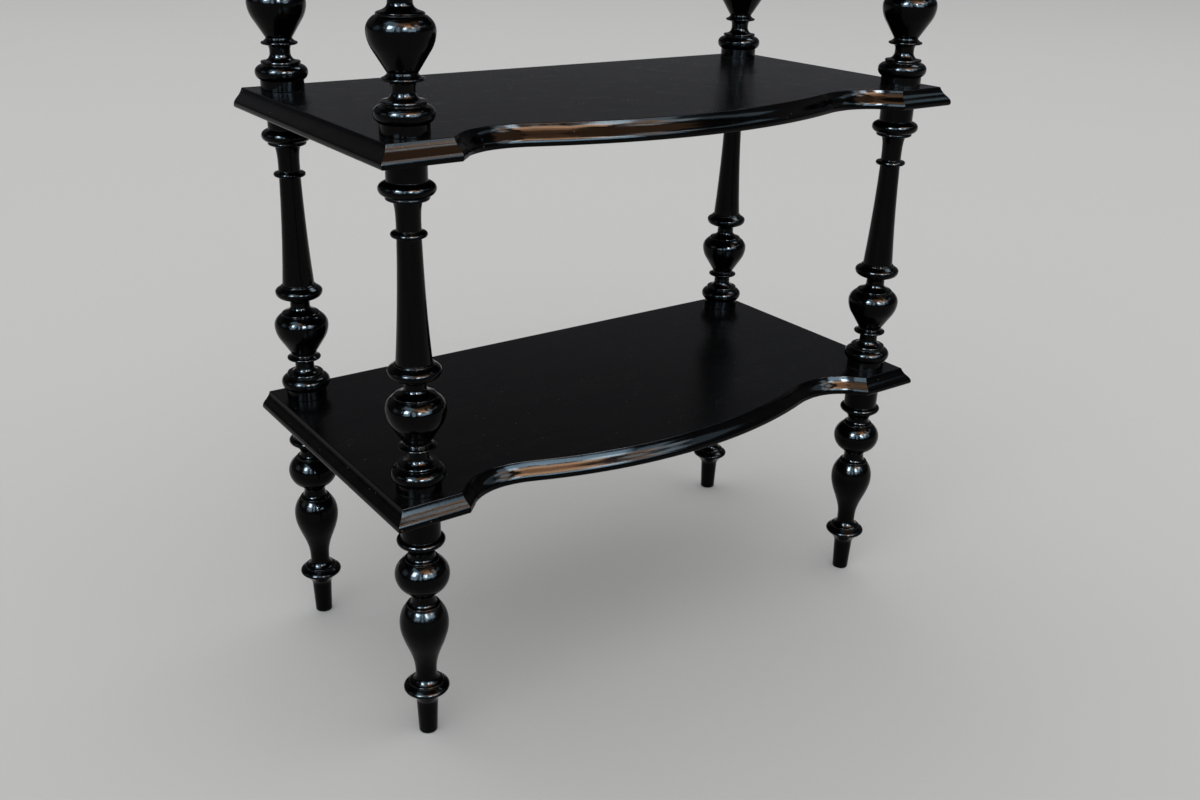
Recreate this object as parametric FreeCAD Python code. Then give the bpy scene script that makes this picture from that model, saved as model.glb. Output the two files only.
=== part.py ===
"""Three-tier etagere: turned legs and columns, bow-fronted moulded shelves, turned finials.

Millimetres, +Z up, front is -Y, origin under the middle of the bounding box on the floor.
Every leg, column, shelf and finial is its own solid, held by round spigots in bored sockets.
"""
import math
import os

import FreeCAD
import Part

os.makedirs("parts", exist_ok=True)
V = FreeCAD.Vector

# ---- layout -------------------------------------------------------------------------------
SPAN_X = 600.0              # column axis to column axis, left to right
SPAN_Y = 267.0              # column axis to column axis, front to back
LEG_H = 259.7               # floor to the underside of the lower shelf
COLUMN_H = 310.1            # clear height between two shelves
SHELF_T = 19.2              # shelf board thickness
PITCH = COLUMN_H + SHELF_T  # one tier
FINIAL_H = 105.9            # finial above the top shelf
COLUMN_R = 28.5             # shoulder of the inverted vase, the widest turning on a column
LEG_R = 26.8                # ball of the leg, its widest turning

# ---- shelf outline, measured at the nose of the moulding -----------------------------------
SIDE_OVER = 41.0            # nose beyond the column axis at each end
BACK_OVER = 30.1            # square back edge beyond the back column axis
CORNER_OVER = 38.6          # straight front block nose beyond the front column axis
BOW_OVER = 46.7             # crown of the bow beyond the front column axis
WAIST_OVER = 9.4            # deepest point of the recess beside the block
BLOCK_X = 266.0             # where the straight front block ends
WAIST_X = 213.0             # where the recess is deepest
SLANT = 45.0                # angle of the short return of the block
RECESS_RADIUS = 60.0        # recess radius on the block side
INNER_RADIUS = 90.0         # recess radius on the bow side

# ---- ogee edge moulding ---------------------------------------------------------------------
EDGE_IN = 10.2              # where the flat top ends, back from the nose
ARRIS_ROUND = 1.0           # worn round on the arris
OGEE_TOP_ANGLE = 72.0       # steepness below the arris
OGEE_MID_IN = 4.5           # change of curvature: back from the nose
OGEE_MID_DROP = 8.4         # and below the top face
OGEE_MID_ANGLE = 45.0       # steepness where the curvature changes
NOSE_DROP = 16.2            # nose below the top face
NOSE_ROUND = 2.5            # round under the nose
BACK_ROUND = 0.9            # eased square edge at the back

# ---- joints -----------------------------------------------------------------------------------
SPIGOT_R = 8.0              # round spigot on the lower end of columns and finials
SPIGOT_GRIP = 26.0          # length of the spigot inside the piece below
JOINT_GAP = 0.1             # radial clearance for glue, in sockets and shelf bores
SOCKET_END_GAP = 2.0        # glue room under the spigot
SPIGOT_CHAMFER = 1.2
SOCKET_CHAMFER = 0.6

DEPTH = BACK_OVER + SPAN_Y + BOW_OVER
BACK_Y = DEPTH / 2.0 - BACK_OVER
FRONT_Y = BACK_Y - SPAN_Y
POSTS = {
    "front_left": (-SPAN_X / 2.0, FRONT_Y),
    "front_right": (SPAN_X / 2.0, FRONT_Y),
    "back_left": (-SPAN_X / 2.0, BACK_Y),
    "back_right": (SPAN_X / 2.0, BACK_Y),
}


def unit(angle):
    """Direction in the profile plane: 0 is away from the axis, 90 is up."""
    a = math.radians(angle)
    return math.cos(a), math.sin(a)


def arc_middle(p, q, angle):
    """Middle point of the arc from p to q that leaves p at the given angle."""
    cx, cy = q[0] - p[0], q[1] - p[1]
    chord = math.hypot(cx, cy)
    tx, ty = unit(angle)
    turn = math.atan2(tx * cy - ty * cx, tx * cx + ty * cy)
    if abs(turn) < 1e-4:
        return None
    side = chord / 2.0 * math.tan(turn / 2.0)
    return (p[0] + q[0]) / 2.0 + cy / chord * side, (p[1] + q[1]) / 2.0 - cx / chord * side


def biarc_joint(p, q, a0, a1):
    """Point where two tangent arcs meet between p (leaving at a0) and q (arriving at a1)."""
    t0, t1 = unit(a0), unit(a1)
    v = (q[0] - p[0], q[1] - p[1])
    vv = v[0] ** 2 + v[1] ** 2
    vt = v[0] * (t0[0] + t1[0]) + v[1] * (t0[1] + t1[1])
    k = 2.0 * (1.0 - t0[0] * t1[0] - t0[1] * t1[1])
    if k < 1e-6:
        d = vv / (2.0 * vt)
    else:
        d = (-vt + math.sqrt(vt * vt + k * vv)) / k
    return tuple((p[i] + q[i] + d * (t0[i] - t1[i])) / 2.0 for i in (0, 1))


class Outline:
    """A plane outline built edge by edge; place() turns its two numbers into a point."""

    def __init__(self, x, y, place):
        self.place = place
        self.at = (x, y)
        self.units = (1.0, 1.0)
        self.edges = []

    def drawn(self, x_unit, y_unit):
        """Real size of one unit of the numbers that follow."""
        self.units = (x_unit, y_unit)
        return self

    def real(self, x, y):
        return x * self.units[0], y * self.units[1]

    def add(self, edge, end):
        self.edges.append(edge.toShape())
        self.at = end
        return self

    def arc_to(self, end, angle):
        mid = arc_middle(self.at, end, angle)
        if mid is None:
            return self.add(Part.LineSegment(self.place(*self.at), self.place(*end)), end)
        return self.add(Part.Arc(*[self.place(*pt) for pt in (self.at, mid, end)]), end)

    def line(self, x, y):
        end = self.real(x, y)
        return self.add(Part.LineSegment(self.place(*self.at), self.place(*end)), end)

    def arc(self, x, y, angle):
        """One arc to (x, y), leaving at the angle."""
        return self.arc_to(self.real(x, y), angle)

    def curve(self, x, y, a0, a1):
        """Two tangent arcs to (x, y), leaving at a0 and arriving at a1."""
        start, end = self.at, self.real(x, y)
        mid = biarc_joint(start, end, a0, a1)
        self.arc_to(mid, a0)
        lean = math.degrees(math.atan2(mid[1] - start[1], mid[0] - start[0]))
        return self.arc_to(end, 2.0 * lean - a0)

    def sweep(self, px, py, x, y):
        """Gentle curve to (x, y), pulled towards the pole (px, py)."""
        end = self.real(x, y)
        curve = Part.BezierCurve()
        curve.setPoles([self.place(*pt) for pt in (self.at, self.real(px, py), end)])
        return self.add(curve, end)

    def face(self):
        return Part.Face(Part.Wire(self.edges))


def profile(r, z):
    return Outline(r, z, lambda a, b: V(a, 0, b))


def turn(outline):
    return outline.face().revolve(V(0, 0, 0), V(0, 0, 1), 360)


def socket(top):
    """Bored socket in the top end of a turning, with a small countersink."""
    r = SPIGOT_R + JOINT_GAP
    depth = SPIGOT_GRIP + SOCKET_END_GAP
    bore = Part.makeCylinder(r, depth + 1.0, V(0, 0, top - depth))
    sink = Part.makeCone(r, r + SOCKET_CHAMFER + 1.0, SOCKET_CHAMFER + 1.0, V(0, 0, top - SOCKET_CHAMFER))
    return bore.fuse(sink)


def spigot_start():
    """Axis, chamfered spigot and flat seat: the start of every column and finial profile."""
    end = -SHELF_T - SPIGOT_GRIP
    out = profile(0, end).line(SPIGOT_R - SPIGOT_CHAMFER, end)
    out.line(SPIGOT_R, end + SPIGOT_CHAMFER).line(SPIGOT_R, 0)
    return out


def base_block(out):
    """Base cylinder, bead, ring, cove and thin disc, shared by columns and finials."""
    out.line(20.9, 0).curve(21.4, 0.6, 10, 88).line(21.4, 9.8)
    out.line(22.2, 10.4).curve(25.9, 17.3, 30, 90).curve(20.4, 24, 90, 163)
    out.line(18.8, 24.3).line(18.8, 25)
    out.curve(19.0, 27.6, 40, 130).line(14.8, 28.3).arc(10.1, 35.3, 160)
    out.line(10.1, 38.1).curve(11.8, 42.6, 90, 48)
    out.line(15.4, 43.1).curve(17.9, 44.8, 12, 90).curve(15.6, 46.4, 90, 160)
    out.line(13.2, 48.3).line(12.9, 49.7)
    return out


def collar(out, r, z):
    """Small ring with a crevice under it, as cut on top of a rounded shoulder."""
    out.line(r - 0.3, z + 0.3).line(r, z + 0.7)
    out.line(r - 0.1, z + 2.1).line(r - 0.5, z + 2.5)
    return out


def make_column():
    # drawn 310.1 high with a 28.5 shoulder
    out = base_block(spigot_start().drawn(COLUMN_R / 28.5, COLUMN_H / 310.1))
    # inverted vase with its shoulder ring and the skirt under the neck
    out.line(23.9, 67.1).arc(28.5, 82.3, 57.5).curve(21.4, 93.9, 90, 149)
    collar(out, 20.0, 93.8)
    out.line(18.3, 97).curve(10.3, 103.9, 168, 90).line(10.3, 107.9)
    # torus: bowl below, rolled rim, dished top
    out.curve(12.1, 109.9, 85, 30).curve(24.7, 120, 28, 90)
    out.curve(22.2, 123.6, 90, 148).line(18.2, 126.1)
    out.curve(17.3, 127.6, 60, 150).line(16.7, 127.8)
    # slender tapered shaft, thin ring, neck
    out.sweep(12.25, 181.5, 10.95, 241.7)
    out.line(11.6, 242).curve(16.2, 245, 15, 90).curve(11.6, 248, 90, 165)
    out.line(11.0, 248.3).line(10.95, 255.5).sweep(10.95, 269.3, 13.2, 273.9)
    # small ring and bead under the top cylinder
    out.line(17.2, 274.7).curve(19.3, 276.6, 10, 90).curve(18.6, 278.1, 90, 150)
    out.line(19.6, 278.5).curve(25.0, 284.7, 15, 90).curve(18.9, 290.8, 90, 165)
    out.line(17.9, 291.2).line(18.0, 309.6).line(17.5, 310.1)
    out.drawn(1, 1).line(0, COLUMN_H).line(0, -SHELF_T - SPIGOT_GRIP)
    return turn(out).cut(socket(COLUMN_H))


def make_leg():
    # drawn 259.7 high with a 26.8 ball; peg foot, slightly wider upwards
    out = profile(0, 0).drawn(LEG_R / 26.8, LEG_H / 259.7)
    out.line(8.3, 0).curve(9.5, 1.4, 5, 88).line(11.0, 38.0)
    # saucer disc with a ring and a cove on top
    out.curve(20.9, 51.9, 78, 42).curve(23.1, 55.0, 30, 90).curve(21.2, 57.8, 90, 145)
    out.line(17.7, 59.8)
    collar(out, 17.2, 59.6)
    out.line(15.4, 62.4).arc(10.7, 71.4, 152)
    # baluster
    out.line(10.7, 74.5).curve(16.1, 100.0, 90, 68.5).line(18.8, 106.9)
    out.curve(24.4, 131.3, 68.5, 90).curve(17.6, 150.8, 90, 130)
    collar(out, 16.6, 150.8)
    out.line(14.8, 153.7).curve(11.8, 159.0, 165, 90).line(11.8, 161.4)
    # ball
    out.curve(14.3, 167.6, 90, 55).line(15.2, 168.3)
    out.arc(26.8, 186.8, 26.5).curve(17.9, 202.6, 90, 146)
    collar(out, 16.7, 202.5)
    out.line(14.8, 205.4).curve(12.6, 209.8, 165, 90)
    # bead and the cylinder that carries the shelf
    out.line(12.6, 210.8).curve(21.2, 221.2, 78, 38).curve(23.4, 224.9, 32, 90)
    out.curve(20.3, 228.1, 90, 163).line(19.3, 228.5)
    out.line(19.4, 259.2).line(18.9, 259.7).line(0, 259.7).line(0, 0)
    return turn(out).cut(socket(LEG_H))


def make_finial():
    # drawn 105.9 high on the column's base
    out = base_block(spigot_start().drawn(COLUMN_R / 28.5, FINIAL_H / 105.9))
    out.line(18.6, 59.1).curve(21.6, 68.9, 54, 90).curve(15.8, 78.1, 90, 150)
    collar(out, 14.8, 78.2)
    out.line(13.4, 81.1).curve(6.6, 87.1, 165, 90).line(6.6, 88.1)
    out.curve(10.6, 92.9, 50, 90).curve(5.0, 98.9, 90, 158)
    out.curve(2.4, 103.5, 125, 100).curve(0, 105.9, 100, 180)
    out.drawn(1, 1).line(0, -SHELF_T - SPIGOT_GRIP)
    return turn(out)


# ---- shelf --------------------------------------------------------------------------------------
HALF_X = SPAN_X / 2.0 + SIDE_OVER
BACK_EDGE = BACK_Y + BACK_OVER
NOSE_BLOCK = FRONT_Y - CORNER_OVER
NOSE_CROWN = FRONT_Y - BOW_OVER
NOSE_WAIST = FRONT_Y - WAIST_OVER
# the bow is tangent to the inner recess arc: the radius follows from crown and waist
RISE = NOSE_WAIST - NOSE_CROWN
BOW_R = (WAIST_X ** 2 + RISE ** 2) / (2.0 * RISE) - INNER_RADIUS
BOW_CENTRE = (0.0, NOSE_CROWN + BOW_R)
MITRE_RUN = math.tan(math.radians(SLANT / 2.0))


def waist_centre(radius):
    return WAIST_X, NOSE_WAIST - radius


def slant_joint(out_by):
    """End of the outer recess arc, where the short straight return starts (right half)."""
    cx, cy = waist_centre(RECESS_RADIUS)
    a = math.radians(SLANT)
    r = RECESS_RADIUS - out_by
    return cx + r * math.sin(a), cy + r * math.cos(a)


def bow_joint(out_by):
    """Where the bow meets the inner recess arc (right half)."""
    share = (BOW_R + out_by) / (BOW_R + INNER_RADIUS)
    cx, cy = waist_centre(INNER_RADIUS)
    return cx * share, BOW_CENTRE[1] + (cy - BOW_CENTRE[1]) * share


def blank_face(out_by):
    """Shelf outline moved out from the nose line by out_by all round."""
    x = HALF_X + out_by
    back = BACK_EDGE + out_by
    front = NOSE_BLOCK - out_by
    block = BLOCK_X - out_by * MITRE_RUN
    sx, sy = slant_joint(out_by)
    bx, by = bow_joint(out_by)
    waist = NOSE_WAIST - out_by
    crown = NOSE_CROWN - out_by
    out = Outline(-x, back, lambda a, b: V(a, b, 0))
    out.line(-x, front).line(-block, front).line(-sx, sy)
    out.arc(-WAIST_X, waist, SLANT).arc(-bx, by, 0)
    lean = math.degrees(math.asin(bx / (BOW_R + out_by)))
    out.arc(0, crown, -lean).arc(bx, by, 0)
    out.arc(WAIST_X, waist, lean).arc(sx, sy, 0)
    out.line(block, front).line(x, front).line(x, back).line(-x, back)
    return out.face()


def cutter_face(place):
    """Everything outside the ogee: first number is distance out from the nose, second height."""
    band, spare = 9.0, 3.0
    steep = math.radians(OGEE_TOP_ANGLE)
    out = Outline(-EDGE_IN, SHELF_T + spare, place)
    out.line(-EDGE_IN, SHELF_T)
    out.arc(-EDGE_IN + ARRIS_ROUND * math.sin(steep), SHELF_T - ARRIS_ROUND * (1 - math.cos(steep)), 0)
    out.arc(-OGEE_MID_IN, SHELF_T - OGEE_MID_DROP, -OGEE_TOP_ANGLE)
    out.curve(0, SHELF_T - NOSE_DROP, -OGEE_MID_ANGLE, -90)
    out.line(0, NOSE_ROUND).arc(-NOSE_ROUND, 0, -90)
    out.line(-NOSE_ROUND, -spare).line(band, -spare).line(band, SHELF_T + spare)
    out.line(-EDGE_IN, SHELF_T + spare)
    return out.face()


def eased_face(place):
    """Everything outside the plain back edge."""
    band, spare, r = 9.0, 3.0, BACK_ROUND
    out = Outline(-r, SHELF_T + spare, place).line(-r, SHELF_T).arc(0, SHELF_T - r, 0)
    out.line(0, r).arc(-r, 0, -90).line(-r, -spare).line(band, -spare)
    return out.line(band, SHELF_T + spare).line(-r, SHELF_T + spare).face()


def straight_cutter(x, y, angle, length, section=cutter_face):
    """Moulding cutter along a straight edge from (x, y); the wood is on its left."""
    a = math.radians(angle)
    dx, dy = math.cos(a), math.sin(a)
    face = section(lambda d, h: V(x + dy * d, y - dx * d, h))
    return face.extrude(V(dx * length, dy * length, 0))


def round_cutter(centre, radius, inward, start, sweep):
    """Moulding cutter along an arc; inward is +1 when the wood is on the centre side."""
    a = math.radians(start)
    cx, cy = centre

    def place(d, h):
        r = radius + inward * d
        return V(cx + r * math.cos(a), cy + r * math.sin(a), h)

    return cutter_face(place).revolve(V(cx, cy, 0), V(0, 0, 1), sweep)


def make_shelf():
    past = 14.0
    slab = blank_face(5.0).extrude(V(0, 0, SHELF_T))
    sx, sy = slant_joint(0.0)
    slant_len = math.hypot(BLOCK_X - sx, sy - NOSE_BLOCK)
    run = math.sqrt(0.5)
    lean = math.degrees(math.asin(bow_joint(0.0)[0] / BOW_R))
    block_len = HALF_X - BLOCK_X
    side_len = BACK_EDGE - NOSE_BLOCK
    cutters = [
        straight_cutter(-HALF_X, BACK_EDGE + past, -90, side_len + 2 * past),
        straight_cutter(HALF_X, NOSE_BLOCK - past, 90, side_len + 2 * past),
        straight_cutter(HALF_X + past, BACK_EDGE, 180, 2 * (HALF_X + past), eased_face),
        straight_cutter(-HALF_X - past, NOSE_BLOCK, 0, block_len + 2 * past),
        straight_cutter(BLOCK_X - past, NOSE_BLOCK, 0, block_len + 2 * past),
        straight_cutter(-BLOCK_X - past * run, NOSE_BLOCK - past * run, SLANT, slant_len + past),
        straight_cutter(sx, sy, -SLANT, slant_len + past),
        round_cutter(BOW_CENTRE, BOW_R, 1, 270 - lean, 2 * lean),
    ]
    for side in (-1, 1):
        cx, cy = waist_centre(RECESS_RADIUS)
        start = 90 if side < 0 else 90 - SLANT
        cutters.append(round_cutter((side * cx, cy), RECESS_RADIUS, -1, start, SLANT))
        cx, cy = waist_centre(INNER_RADIUS)
        start = 90 - lean if side < 0 else 90
        cutters.append(round_cutter((side * cx, cy), INNER_RADIUS, -1, start, lean))
    for cutter in cutters:
        slab = slab.cut(cutter)
    for px, py in POSTS.values():
        slab = slab.cut(Part.makeCylinder(SPIGOT_R + JOINT_GAP, SHELF_T + 2, V(px, py, -1)))
    solids = sorted(slab.Solids, key=lambda s: s.Volume)
    return solids[-1]


def save(shape, name, x, y, z):
    piece = shape.copy()
    piece.translate(V(x, y, z))
    piece.exportStep("parts/%s.step" % name)
    box = piece.BoundBox
    print("%-24s valid %s solids %d  z %.2f..%.2f" % (
        name, piece.isValid(), len(piece.Solids), box.ZMin, box.ZMax))


leg = make_leg()
column = make_column()
finial = make_finial()
shelf = make_shelf()

TIERS = [LEG_H + tier * PITCH for tier in range(3)]
for tier_name, z in zip(("lower", "middle", "top"), TIERS):
    save(shelf, "%s_shelf" % tier_name, 0, 0, z)
for corner, (x, y) in POSTS.items():
    save(leg, "leg_%s" % corner, x, y, 0)
    save(column, "lower_column_%s" % corner, x, y, TIERS[0] + SHELF_T)
    save(column, "upper_column_%s" % corner, x, y, TIERS[1] + SHELF_T)
    save(finial, "finial_%s" % corner, x, y, TIERS[2] + SHELF_T)
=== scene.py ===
"""Look of the three-tier ebonised etagere: wood finishes, floor, world, lamps and camera.

X runs to the right along the front, Y to the back and Z up; lengths are in metres.
"""
import math
from types import SimpleNamespace

import bpy
from mathutils import Matrix, Vector


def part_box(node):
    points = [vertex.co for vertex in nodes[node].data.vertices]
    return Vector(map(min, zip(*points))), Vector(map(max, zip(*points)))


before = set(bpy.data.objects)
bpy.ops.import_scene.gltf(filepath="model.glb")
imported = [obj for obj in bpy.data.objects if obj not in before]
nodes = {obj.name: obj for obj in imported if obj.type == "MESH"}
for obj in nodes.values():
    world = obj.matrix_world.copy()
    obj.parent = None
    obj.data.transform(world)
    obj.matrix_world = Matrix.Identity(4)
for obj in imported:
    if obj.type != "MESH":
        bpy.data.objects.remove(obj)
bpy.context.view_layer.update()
scene = bpy.context.scene

MM = 0.001
CORNERS = ("front_left", "front_right", "back_left", "back_right")
TURNINGS = [kind + "_" + corner for kind in ("leg", "lower_column", "upper_column", "finial")
            for corner in CORNERS]
# each shelf, its share of dust, how far its top is greyed with the grain showing, and whether it is chipped
BOARDS = (("lower_shelf", 1.0, 0.06, True),
          ("middle_shelf", 0.6, 1.0, False),
          ("top_shelf", 0.6, 1.0, False))


# ---- node helpers -------------------------------------------------------------------------------
# the Mix node has its own inputs and output for each kind of data, told apart by their number
FACTOR = 0
NUMBER_A, NUMBER_B, NUMBER_RESULT = 2, 3, 0
COLOUR_A, COLOUR_B, COLOUR_RESULT = 6, 7, 2


class Tree:
    """Short way to write a node tree: tree.add("ShaderNodeMath", (a, b), operation="ADD")."""

    def __init__(self, node_tree):
        self.node_tree = node_tree
        node_tree.nodes.clear()

    def add(self, kind, inputs=(), out=0, **props):
        """New node, its inputs given as values or sockets, in order or by name; returns one output."""
        node = self.node_tree.nodes.new(kind)
        for key, value in props.items():
            setattr(node, key, value)
        pairs = inputs.items() if isinstance(inputs, dict) else enumerate(inputs)
        for key, value in pairs:
            if isinstance(value, bpy.types.NodeSocket):
                self.node_tree.links.new(value, node.inputs[key])
            else:
                node.inputs[key].default_value = value
        return node.outputs[out]

    def end(self, kind, shader):
        """Output node of the tree, fed by this shader."""
        self.node_tree.links.new(shader, self.node_tree.nodes.new(kind).inputs[0])

    def math(self, operation, *values, clamp=False):
        """One operation of the Math node on numbers or sockets."""
        return self.add("ShaderNodeMath", values, operation=operation, use_clamp=clamp)

    def times(self, a, b):
        return self.math("MULTIPLY", a, b)

    def plus(self, value, extra, share, clamp=False):
        """value + extra * share."""
        return self.math("MULTIPLY_ADD", extra, share, value, clamp=clamp)

    def step(self, value, start, end):
        """Smooth step from 0 where value is start to 1 where it is end; end may be the lower one."""
        return self.add("ShaderNodeMapRange", (value, start, end), interpolation_type="SMOOTHSTEP")

    def mix(self, factor, a, b):
        """Colour a where factor is 0, colour b where it is 1."""
        inputs = {FACTOR: factor, COLOUR_A: a, COLOUR_B: b}
        return self.add("ShaderNodeMix", inputs, out=COLOUR_RESULT, data_type="RGBA")

    def blend(self, factor, a, b):
        """Number a where factor is 0, number b where it is 1."""
        inputs = {FACTOR: factor, NUMBER_A: a, NUMBER_B: b}
        return self.add("ShaderNodeMix", inputs, out=NUMBER_RESULT, data_type="FLOAT")

    def scaled(self, vector, scale, location=(0, 0, 0)):
        return self.add("ShaderNodeMapping", {"Vector": vector, "Scale": scale, "Location": location})

    def noise(self, vector, scale, detail, rough):
        """Cloudy pattern around 0.5; scale is in cells per metre."""
        inputs = {"Vector": vector, "Scale": scale, "Detail": detail, "Roughness": rough}
        return self.add("ShaderNodeTexNoise", inputs)


def new_material(name):
    material = bpy.data.materials.new(name)
    material.use_nodes = True
    return material, Tree(material.node_tree)


def principled_surface(tree, **inputs):
    """Principled shader as the surface; an underscore in the name of an input stands for a space."""
    inputs = {name.replace("_", " "): value for name, value in inputs.items()}
    tree.end("ShaderNodeOutputMaterial", tree.add("ShaderNodeBsdfPrincipled", inputs))


# ---- parts of a finish --------------------------------------------------------------------------
def own_pattern(tree, place, seed):
    """Place moved by the seed, so that no two pieces carry the same pattern."""
    return tree.scaled(place, (1, 1, 1), (seed * 0.37, seed * 0.21, seed * 0.13))


def rounded_edges(tree, facing, radius):
    """Normal softened over the edges, and its cosine to the facing: 1 on open ground, less at an edge."""
    soft = tree.add("ShaderNodeBevel", {"Radius": radius}, samples=4)
    return soft, tree.add("ShaderNodeVectorMath", (soft, facing), out="Value", operation="DOT_PRODUCT")


def open_air(tree, reach):
    """1 on open ground, less in hollows that are narrower than the reach."""
    return tree.add("ShaderNodeAmbientOcclusion", {"Distance": reach}, out="AO", samples=6)


def relief(tree, soft, patterns):
    """Normal with small reliefs on it; each pattern comes with its height, negative for a hollow."""
    height = 0.0
    for pattern, tall in patterns:
        height = tree.plus(height, pattern, tall)
    inputs = {"Strength": 1.0, "Distance": 1.0, "Height": height, "Normal": soft}
    return tree.add("ShaderNodeBump", inputs)


def dust_specks(tree, spot, dusty):
    """Sparse round specks of uneven size; with dusty 1, one sits in every 33rd of these small cells."""
    cells = {"Vector": spot, "Scale": 330.0}
    filled_share, largest = 0.03, 0.26
    away = tree.add("ShaderNodeTexVoronoi", cells, out="Distance", feature="F1")
    middle = tree.add("ShaderNodeTexVoronoi", cells, out="Position", feature="F1")
    luck = tree.add("ShaderNodeTexWhiteNoise", (middle,), noise_dimensions="3D")
    size = tree.times(tree.step(luck, 1.0 - filled_share * dusty, 1.0), largest)
    return tree.math("LESS_THAN", away, size)


def scratches(tree, spot):
    """Short thin lines in three directions: the middle level of a stretched noise, kept in patches."""
    marks = 0.0
    for turn, scale in ((0.35, 38.0), (-0.9, 30.0), (1.25, 24.0)):
        lane = tree.add("ShaderNodeVectorRotate", {"Vector": spot, "Angle": turn}, rotation_type="Z_AXIS")
        line = tree.noise(tree.scaled(lane, (0.06, 3.2, 1.0)), scale=scale * 6.0, detail=1.0, rough=0.4)
        thin = tree.step(tree.math("ABSOLUTE", tree.math("SUBTRACT", line, 0.5)), 0.008, 0.0)
        patch = tree.step(tree.noise(lane, scale=scale, detail=1.0, rough=0.5), 0.62, 0.68)
        marks = tree.math("MAXIMUM", marks, tree.times(thin, patch))
    return marks


def near_chip(tree, place, chip, ragged):
    """1 within about 4 mm of the chip's middle, with a ragged rim."""
    away = tree.add("ShaderNodeVectorMath", (place, chip), out="Value", operation="DISTANCE")
    away = tree.plus(away, tree.math("SUBTRACT", ragged, 0.5), 10 * MM)
    return tree.step(away, 4.2 * MM, 3.4 * MM)


# ---- wood finishes ------------------------------------------------------------------------------
POLISH_IOR = 1.16  # low, so that the black stays deep over a pale floor
TURNED_BLACK, TURNED_STREAK = (0.0003, 0.0003, 0.0003, 1), (0.0010, 0.0009, 0.0008, 1)
BOARD_BLACK, BOARD_STREAK = (0.0004, 0.0004, 0.0005, 1), (0.0016, 0.0015, 0.0015, 1)
TOP_BLACK, TOP_GRAIN = (0.0018, 0.0019, 0.0023, 1), (0.0050, 0.0049, 0.0058, 1)
UNDERSIDE = (0.006, 0.005, 0.0045, 1)
TURNED_WORN, BOARD_WORN = (0.055, 0.030, 0.017, 1), (0.075, 0.040, 0.022, 1)
HOLLOW_DUST, SPECK = (0.060, 0.052, 0.045, 1), (0.14, 0.13, 0.125, 1)
SCRATCH = (0.050, 0.047, 0.046, 1)
BARE_WOOD = (0.26, 0.12, 0.05, 1)


def turned_patterns(tree, seed):
    """Noises and masks that the colour, the roughness and the relief of a turned piece share."""
    spot = own_pattern(tree, tree.add("ShaderNodeTexCoord", out="Object"), seed)
    pores = tree.noise(tree.scaled(spot, (1.0, 1.0, 0.035)), scale=1500.0, detail=3.0, rough=0.6)
    smudge = tree.noise(spot, scale=24.0, detail=5.0, rough=0.65)
    soft, flatness = rounded_edges(tree, tree.add("ShaderNodeNewGeometry", out="Normal"), 0.5 * MM)
    return SimpleNamespace(
        pores=tree.step(pores, 0.60, 0.72),
        streaks=tree.noise(tree.scaled(spot, (1.0, 1.0, 0.08)), scale=160.0, detail=4.0, rough=0.6),
        rings=tree.noise(tree.scaled(spot, (0.02, 0.02, 1.0)), scale=900.0, detail=3.0, rough=0.7),
        wobble=tree.noise(tree.scaled(spot, (1.0, 1.0, 0.8)), scale=62.0, detail=3.0, rough=0.55),
        ripple=tree.noise(spot, scale=210.0, detail=2.0, rough=0.5),
        smudge=smudge,
        soft=soft,
        worn=tree.times(tree.step(flatness, 0.985, 0.90), tree.step(smudge, 0.48, 0.62)),
        dust=tree.times(tree.step(open_air(tree, 4 * MM), 0.78, 0.35), tree.step(smudge, 0.42, 0.60)))


def turned_finish(name, seed):
    """Black polish on a lathe-turned piece: upright grain, fine tool rings, dust in the hollows."""
    material, tree = new_material(name)
    wood = turned_patterns(tree, seed)
    colour = tree.mix(tree.step(wood.streaks, 0.40, 0.66), TURNED_BLACK, TURNED_STREAK)
    colour = tree.mix(tree.times(wood.worn, 0.55), colour, TURNED_WORN)
    colour = tree.mix(tree.times(wood.dust, 0.35), colour, HOLLOW_DUST)
    rough = tree.blend(tree.step(wood.smudge, 0.40, 0.68), 0.10, 0.16)
    rough = tree.plus(rough, wood.pores, 0.10)
    rough = tree.plus(rough, wood.dust, 0.30, clamp=True)
    normal = relief(tree, wood.soft, ((wood.wobble, 0.42 * MM),
                                      (wood.ripple, 0.030 * MM),
                                      (wood.rings, 0.010 * MM),
                                      (wood.pores, -0.016 * MM)))
    principled_surface(tree, Base_Color=colour, Roughness=rough, Normal=normal, IOR=POLISH_IOR)
    return material


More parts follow.
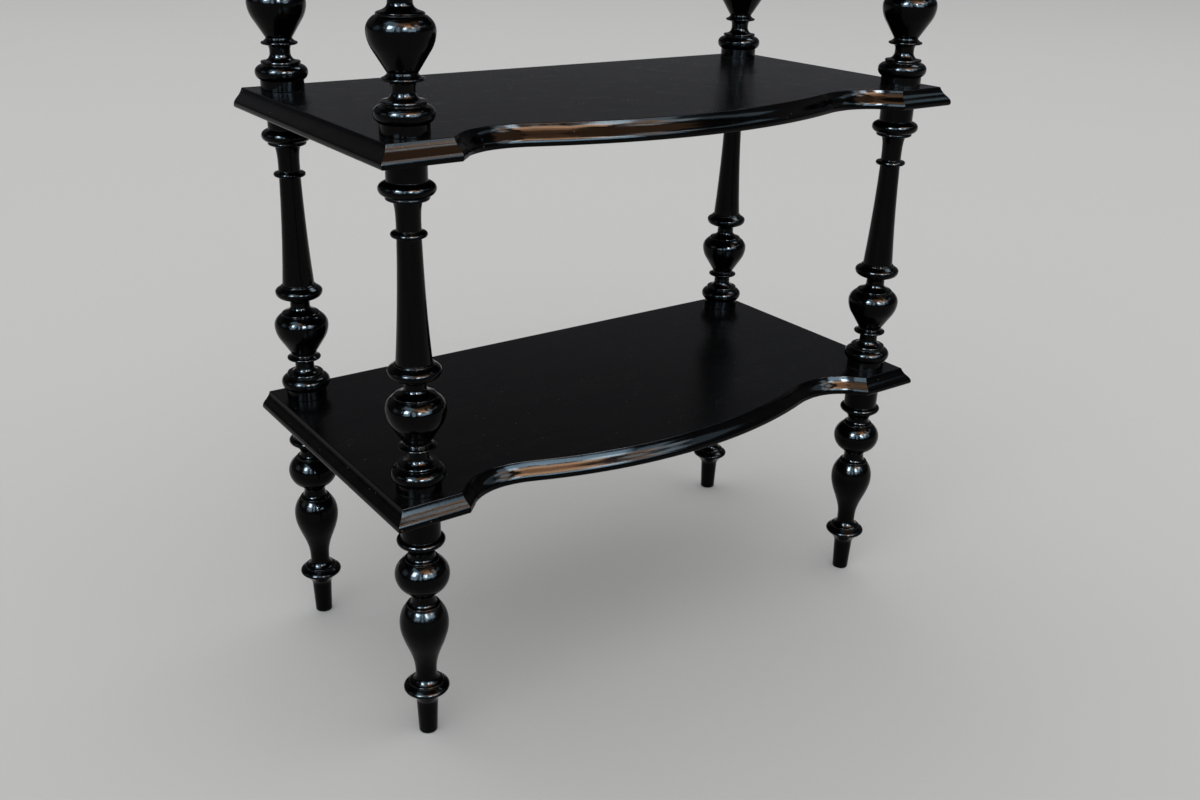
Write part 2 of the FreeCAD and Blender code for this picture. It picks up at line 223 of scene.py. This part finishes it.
def board_patterns(tree, seed, dusty):
    """Noises and masks that the colour, the roughness and the relief of a board share; grain along X."""
    place = tree.add("ShaderNodeTexCoord", out="Object")
    spot = own_pattern(tree, place, seed)
    warp = tree.noise(tree.scaled(spot, (0.6, 2.0, 2.0)), scale=5.0, detail=2.0, rough=0.5)
    sideways = tree.add("ShaderNodeCombineXYZ", (0.0, tree.times(warp, 0.09), 0.0))
    bent = tree.add("ShaderNodeVectorMath", (spot, sideways), operation="ADD")
    pores = tree.noise(tree.scaled(spot, (0.035, 1.0, 1.0)), scale=1300.0, detail=3.0, rough=0.6)
    smudge = tree.noise(spot, scale=9.0, detail=6.0, rough=0.62)
    fine = tree.noise(spot, scale=60.0, detail=4.0, rough=0.6)
    facing = tree.add("ShaderNodeNewGeometry", out="Normal")
    upward_part = tree.add("ShaderNodeSeparateXYZ", (facing,), out="Z")
    flat_top = tree.step(upward_part, 0.93, 0.985)
    soft, flatness = rounded_edges(tree, facing, 0.6 * MM)
    rubbed = tree.times(tree.step(fine, 0.50, 0.62), tree.step(smudge, 0.56, 0.66))
    return SimpleNamespace(
        place=place,
        figure=tree.noise(tree.scaled(bent, (0.06, 1.0, 1.0)), scale=70.0, detail=5.0, rough=0.62),
        grain=tree.noise(tree.scaled(bent, (0.03, 1.0, 1.0)), scale=230.0, detail=4.0, rough=0.65),
        pores=tree.step(pores, 0.60, 0.72),
        smudge=smudge,
        fine=fine,
        wobble=tree.noise(spot, scale=14.0, detail=2.0, rough=0.4),
        flat_top=flat_top,
        underside=tree.step(upward_part, -0.60, -0.90),
        soft=soft,
        worn=tree.times(tree.step(flatness, 0.985, 0.88), rubbed),
        hollow=tree.step(open_air(tree, 5 * MM), 0.80, 0.40),
        speck=tree.times(dust_specks(tree, spot, dusty), tree.step(upward_part, -0.10, 0.20)),
        scratch=tree.times(scratches(tree, spot), flat_top))


def board_colour(tree, wood, grained, chip):
    """Black polish with its grain, marks and dust, and bare wood where the board is chipped."""
    grain_lines = tree.times(tree.step(wood.grain, 0.40, 0.64), tree.times(wood.flat_top, grained ** 1.4))
    colour = tree.mix(tree.step(wood.figure, 0.36, 0.68), BOARD_BLACK, BOARD_STREAK)
    colour = tree.mix(tree.times(wood.flat_top, grained), colour, TOP_BLACK)
    colour = tree.mix(tree.times(grain_lines, 0.55), colour, TOP_GRAIN)
    colour = tree.mix(tree.times(wood.scratch, 0.22), colour, SCRATCH)
    colour = tree.mix(tree.times(wood.worn, 0.4), colour, BOARD_WORN)
    colour = tree.mix(tree.times(wood.speck, 0.40), colour, SPECK)
    colour = tree.mix(tree.times(wood.underside, 0.6), colour, UNDERSIDE)
    if chip is not None:
        colour = tree.mix(near_chip(tree, wood.place, chip, wood.fine), colour, BARE_WOOD)
    return colour


def board_roughness(tree, wood, grained):
    """Glossy moulded edge, duller flat top, matt underside."""
    cloudy = tree.step(tree.blend(0.5, wood.smudge, wood.grain), 0.34, 0.66)
    top = tree.blend(cloudy, 0.19 - 0.03 * grained, 0.25 - 0.03 * grained)
    edge = tree.blend(tree.step(wood.fine, 0.35, 0.70), 0.09, 0.15)
    rough = tree.blend(wood.flat_top, edge, top)
    rough = tree.blend(wood.underside, rough, 0.62)
    rough = tree.plus(rough, wood.pores, 0.06)
    return tree.plus(rough, tree.math("MAXIMUM", wood.scratch, wood.hollow), 0.12, clamp=True)


def board_finish(name, seed, dusty, grained, chip=None):
    """Black polish on a shelf board."""
    material, tree = new_material(name)
    wood = board_patterns(tree, seed, dusty)
    pore_height = tree.blend(wood.flat_top, -0.007 * MM, -0.018 * MM)
    normal = relief(tree, wood.soft, ((wood.wobble, 0.35 * MM),
                                      (wood.figure, 0.030 * MM),
                                      (wood.pores, pore_height),
                                      (wood.scratch, -0.020 * MM)))
    colour = board_colour(tree, wood, grained, chip)
    rough = board_roughness(tree, wood, grained)
    principled_surface(tree, Base_Color=colour, Roughness=rough, Normal=normal, IOR=POLISH_IOR)
    return material


# ---- dressing of the pieces ---------------------------------------------------------------------
WELD_DISTANCE = 0.002 * MM
EDGE_ANGLE = math.radians(20.0)  # faces that meet more sharply than this keep a crisp edge
CHIP_INSET = Vector((3 * MM, 3 * MM, 4 * MM))  # from the bottom front left corner of the board


def smooth_joins(piece):
    """Modifiers only: reflections run on over the joins of faces and break at the real edges."""
    piece.modifiers.new("weld", "WELD").merge_threshold = WELD_DISTANCE
    split = piece.modifiers.new("keep_edges", "EDGE_SPLIT")
    split.use_edge_sharp = False
    split.split_angle = EDGE_ANGLE
    even = piece.modifiers.new("even_normals", "WEIGHTED_NORMAL")
    even.mode = "FACE_AREA"
    even.keep_sharp = False


def dress(node, material):
    """The material on a CAD piece, in place of any that it came with."""
    mesh = nodes[node].data
    mesh.materials.clear()
    mesh.materials.append(material)
    smooth_joins(nodes[node])


for seed, node in enumerate(TURNINGS, 1):
    dress(node, turned_finish("black_polish_" + node, seed))

for seed, (node, dusty, grained, chipped) in enumerate(BOARDS, 1):
    chip = Vector(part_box(node)[0]) + CHIP_INSET if chipped else None
    dress(node, board_finish("black_board_" + node, seed, dusty, grained, chip))

# ---- floor --------------------------------------------------------------------------------------
FLOOR_SIZE = 60.0
FLOOR_GREY = (0.56, 0.558, 0.555, 1)


def add_floor():
    """Wide matt floor that runs on into the backdrop."""
    bpy.ops.mesh.primitive_plane_add(size=FLOOR_SIZE, location=(0, 0, 0))
    floor = bpy.context.object
    floor.name = "studio_floor"
    material, tree = new_material("pale_floor")
    principled_surface(tree, Base_Color=FLOOR_GREY, Roughness=1.0, Specular_IOR_Level=0.0)
    floor.data.materials.append(material)


add_floor()

# ---- world --------------------------------------------------------------------------------------
EVEN_LIGHT = (0.76, 0.76, 0.76, 1)
BACKDROP = (0.43, 0.429, 0.428, 1)
# the room that only the polish mirrors: above the pale horizon, each tone and where it fades in,
# as the upward part of the ray's direction
ROOM = (((0.00, 0.10), (0.074, 0.076, 0.088, 1)),
        ((0.15, 0.27), (0.158, 0.158, 0.170, 1)),
        ((0.50, 0.68), (0.035, 0.038, 0.043, 1)))


def light_world():
    """Even light for the matt surfaces, a plain backdrop for the camera, the room for mirrored rays."""
    world = bpy.data.worlds.new("studio")
    scene.world = world
    world.use_nodes = True
    tree = Tree(world.node_tree)
    direction = tree.add("ShaderNodeTexCoord", out="Generated")
    upward_part = tree.add("ShaderNodeSeparateXYZ", (direction,), out="Z")
    room = BACKDROP
    for (start, end), tone in ROOM:
        room = tree.mix(tree.step(upward_part, start, end), room, tone)
    seen, glossy, through = (tree.add("ShaderNodeLightPath", out=name)
                             for name in ("Is Camera Ray", "Is Glossy Ray", "Is Transmission Ray"))
    light = tree.mix(seen, EVEN_LIGHT, BACKDROP)
    light = tree.mix(tree.math("MAXIMUM", glossy, through), light, room)
    tree.end("ShaderNodeOutputWorld", tree.add("ShaderNodeBackground", (light, 1.0)))


light_world()

# ---- lamps --------------------------------------------------------------------------------------
AIM = Vector((0.0, 0.0, 0.45))  # the point that every lamp faces


def width_of(angle, distance):
    """Width that spans this angle, in degrees, at this distance."""
    return 2.0 * distance * math.tan(math.radians(angle) / 2.0)


def panel(name, azimuth, elevation, wide, high, radiance, colour, distance=5.0, shown_in="gloss"):
    """Rectangular light, placed and sized by angles in degrees as seen from AIM; azimuth 0 is along X.

    The radiance is that of its face. One shown in the gloss is only mirrored, one shown in the diffuse
    only lights matt surfaces.
    """
    turn, rise = math.radians(azimuth), math.radians(elevation)
    way_out = Vector((math.cos(turn) * math.cos(rise), math.sin(turn) * math.cos(rise), math.sin(rise)))
    data = bpy.data.lights.new(name, "AREA")
    data.shape = "RECTANGLE"
    data.size = width_of(wide, distance)
    data.size_y = width_of(high, distance)
    data.energy = radiance * math.pi * data.size * data.size_y
    data.color = colour
    lamp = bpy.data.objects.new(name, data)
    scene.collection.objects.link(lamp)
    lamp.location = AIM + way_out * distance
    lamp.rotation_mode = "QUATERNION"
    lamp.rotation_quaternion = way_out.to_track_quat("Z", "Y")
    lamp.visible_camera = False
    lamp.visible_diffuse = shown_in == "diffuse"
    lamp.visible_glossy = shown_in == "gloss"


COOL = (0.56, 0.80, 1.0)
PALE = (0.70, 0.87, 1.0)
DIM_BLUE = (0.58, 0.83, 1.0)
WHITE = (1.0, 0.995, 0.99)
AMBER = (1.0, 0.60, 0.36)
BROWN = (1.0, 0.53, 0.28)
# each line: name, azimuth, elevation, width and height in degrees, radiance, colour
# soft light on the floor and the matt surfaces
panel("soft_key", -135, 50, 60, 40, 0.75, WHITE, distance=9.0, shown_in="diffuse")
panel("soft_fill", -20, 50, 60, 40, 0.36, WHITE, distance=9.0, shown_in="diffuse")
panel("soft_back", 90, 55, 60, 40, 0.42, WHITE, distance=9.0, shown_in="diffuse")
# what the polish mirrors: windows on the left and in front, a wooden ceiling, a dim right side
panel("window_left", -154, 30, 22, 40, 32, COOL)
panel("window_left_sun", -158, 36, 11, 18, 270, PALE)
panel("window_small", -129, 26, 8, 32, 30, COOL)
panel("window_middle", -106, 27, 12, 26, 36, COOL)
panel("window_middle_sun", -105, 33, 9, 14, 250, PALE)
panel("window_front", -87, 22, 26, 18, 40, COOL, distance=2.4)
panel("window_front_sun", -75, 35, 10, 9, 74, PALE)
panel("window_far", -52, 37, 10, 8, 19, PALE)
panel("window_far_low", -63, 26, 10, 14, 14, COOL)
panel("wall_far", -62, 37, 9, 9, 17, AMBER)
panel("window_far_high", -56, 47, 9, 7, 19, WHITE)
panel("window_back", 160, 22, 20, 20, 2.9, COOL)
panel("skylight", -165, 60, 30, 18, 14, COOL)
panel("skylight_right", 15, 52, 30, 14, 16, PALE)
panel("ceiling_lit", -89, 43, 24, 10, 52, AMBER)
panel("ceiling_mid", -93, 53, 20, 11, 24, BROWN)
panel("ceiling_high", -95, 65, 22, 12, 5.0, BROWN)
panel("ceiling_left", -125, 56, 16, 20, 9, AMBER)
panel("ceiling_right", -48, 58, 24, 18, 2.6, BROWN)
panel("wall_right", -31, 35, 22, 8, 3.4, DIM_BLUE)

# ---- camera -------------------------------------------------------------------------------------
CAMERA_PLACE = Vector((-0.7430, -1.0202, 0.7962))
YAW, PITCH, ROLL = math.radians(35.225), math.radians(23.87), math.radians(1.352)
SENSOR_WIDTH, LENS = 36.0, 35.51  # in millimetres
SHIFT_X, SHIFT_Y = 0.0123, 0.0114


def add_camera():
    """Camera that looks down by the pitch, right of the Y axis by the yaw, and leans by the roll."""
    forward = Vector((math.sin(YAW) * math.cos(PITCH), math.cos(YAW) * math.cos(PITCH), -math.sin(PITCH)))
    level = Vector((math.cos(YAW), -math.sin(YAW), 0.0))
    upward = level.cross(forward)
    right = level * math.cos(ROLL) + upward * math.sin(ROLL)
    top = upward * math.cos(ROLL) - level * math.sin(ROLL)
    data = bpy.data.cameras.new("camera")
    data.sensor_width = SENSOR_WIDTH
    data.lens = LENS
    data.shift_x = SHIFT_X
    data.shift_y = SHIFT_Y
    camera = bpy.data.objects.new("camera", data)
    scene.collection.objects.link(camera)
    axes = Matrix((right, top, -forward)).transposed()
    camera.matrix_world = Matrix.Translation(CAMERA_PLACE) @ axes.to_4x4()
    scene.camera = camera


add_camera()
scene.view_settings.view_transform = "Standard"
